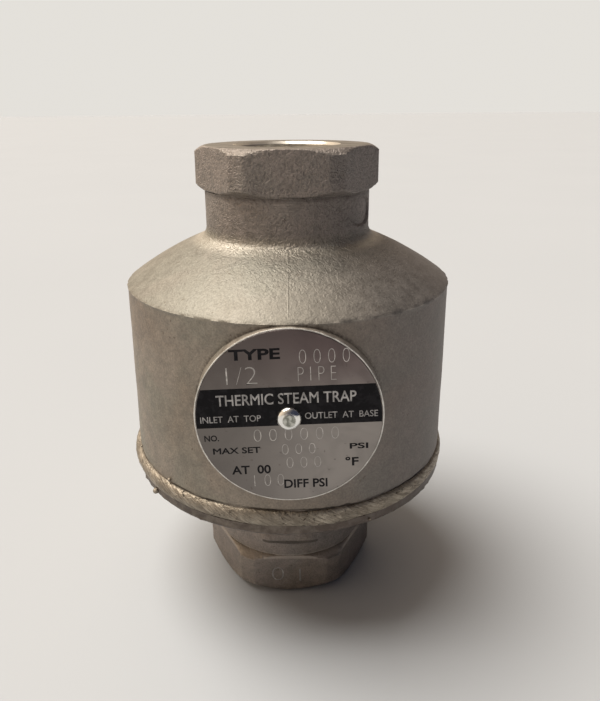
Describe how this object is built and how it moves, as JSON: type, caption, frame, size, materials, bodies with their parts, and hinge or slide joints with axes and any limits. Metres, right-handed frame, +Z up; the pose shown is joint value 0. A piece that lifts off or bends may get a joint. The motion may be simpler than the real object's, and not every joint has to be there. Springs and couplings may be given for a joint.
{
  "type": "steam trap",
  "caption": "Vertical in-line steam trap: welded round body, crowned shoulders, hexagonal threaded ports, round nameplate, and a bimetal stack that lifts a stem and plug to a seat.",
  "frame": {"origin": "on the trap's axis, in the plane of the outlet face that it stands on", "axes": "+Z up the axis from outlet to inlet, -Y out of the nameplate, +X to the right of someone facing the nameplate"},
  "size_m": [0.0686, 0.0699, 0.0955],
  "materials": {
    "cast_stainless": "grit-blasted investment casting, matt",
    "weld_metal": "as-welded bead, lightly ground",
    "plate_aluminium": "satin plate with a printed black band",
    "pin_steel": "polished dome with a flattened centre",
    "machined_stainless": "turned",
    "bimetal": "rolled strip, two layers",
    "gasket_nickel": "soft nickel ring",
    "screen_stainless": "perforated sheet"
  },
  "bodies": {
    "trap_body": {"inlet_body": "cast_stainless", "outlet_cover": "cast_stainless", "closure_weld": "weld_metal", "nameplate": "plate_aluminium", "nameplate_pin": "pin_steel", "valve_seat": "machined_stainless", "seat_gasket": "gasket_nickel", "stack_base_washer": "machined_stainless", "strainer_screen": "screen_stainless", "strainer_cap": "screen_stainless", "strainer_base_ring": "screen_stainless"},
    "valve": {"valve_stem": "machined_stainless", "valve_plug": "machined_stainless", "stack_top_washer": "machined_stainless", "overload_spring": "machined_stainless", "spring_cap": "machined_stainless", "adjusting_nut": "machined_stainless", "lock_nut": "machined_stainless"},
    "leaf_1": {"bimetal_leaf_1": "bimetal"},
    "leaf_2": {"bimetal_leaf_2": "bimetal"},
    "leaf_3": {"bimetal_leaf_3": "bimetal"},
    "leaf_4": {"bimetal_leaf_4": "bimetal"},
    "leaf_5": {"bimetal_leaf_5": "bimetal"},
    "leaf_6": {"bimetal_leaf_6": "bimetal"},
    "leaf_7": {"bimetal_leaf_7": "bimetal"},
    "leaf_8": {"bimetal_leaf_8": "bimetal"}
  },
  "joints": [
    {"name": "valve_lift", "type": "slide", "parent": "trap_body", "child": "valve", "axis": [0, 0, 1], "range_m": [0, 0.0024]},
    {"name": "leaf_1_rise", "type": "slide", "parent": "trap_body", "child": "leaf_1", "axis": [0, 0, 1], "range_m": [0, 0.000267]},
    {"name": "leaf_2_rise", "type": "slide", "parent": "trap_body", "child": "leaf_2", "axis": [0, 0, 1], "range_m": [0, 0.000534]},
    {"name": "leaf_3_rise", "type": "slide", "parent": "trap_body", "child": "leaf_3", "axis": [0, 0, 1], "range_m": [0, 0.0008]},
    {"name": "leaf_4_rise", "type": "slide", "parent": "trap_body", "child": "leaf_4", "axis": [0, 0, 1], "range_m": [0, 0.00107]},
    {"name": "leaf_5_rise", "type": "slide", "parent": "trap_body", "child": "leaf_5", "axis": [0, 0, 1], "range_m": [0, 0.00133]},
    {"name": "leaf_6_rise", "type": "slide", "parent": "trap_body", "child": "leaf_6", "axis": [0, 0, 1], "range_m": [0, 0.0016]},
    {"name": "leaf_7_rise", "type": "slide", "parent": "trap_body", "child": "leaf_7", "axis": [0, 0, 1], "range_m": [0, 0.00187]},
    {"name": "leaf_8_rise", "type": "slide", "parent": "trap_body", "child": "leaf_8", "axis": [0, 0, 1], "range_m": [0, 0.00213]}
  ],
  "couplings": [
    {"joint": "leaf_1_rise", "follows": "valve_lift", "ratio": 0.11111},
    {"joint": "leaf_2_rise", "follows": "valve_lift", "ratio": 0.22222},
    {"joint": "leaf_3_rise", "follows": "valve_lift", "ratio": 0.33333},
    {"joint": "leaf_4_rise", "follows": "valve_lift", "ratio": 0.44444},
    {"joint": "leaf_5_rise", "follows": "valve_lift", "ratio": 0.55556},
    {"joint": "leaf_6_rise", "follows": "valve_lift", "ratio": 0.66667},
    {"joint": "leaf_7_rise", "follows": "valve_lift", "ratio": 0.77778},
    {"joint": "leaf_8_rise", "follows": "valve_lift", "ratio": 0.88889}
  ]
}
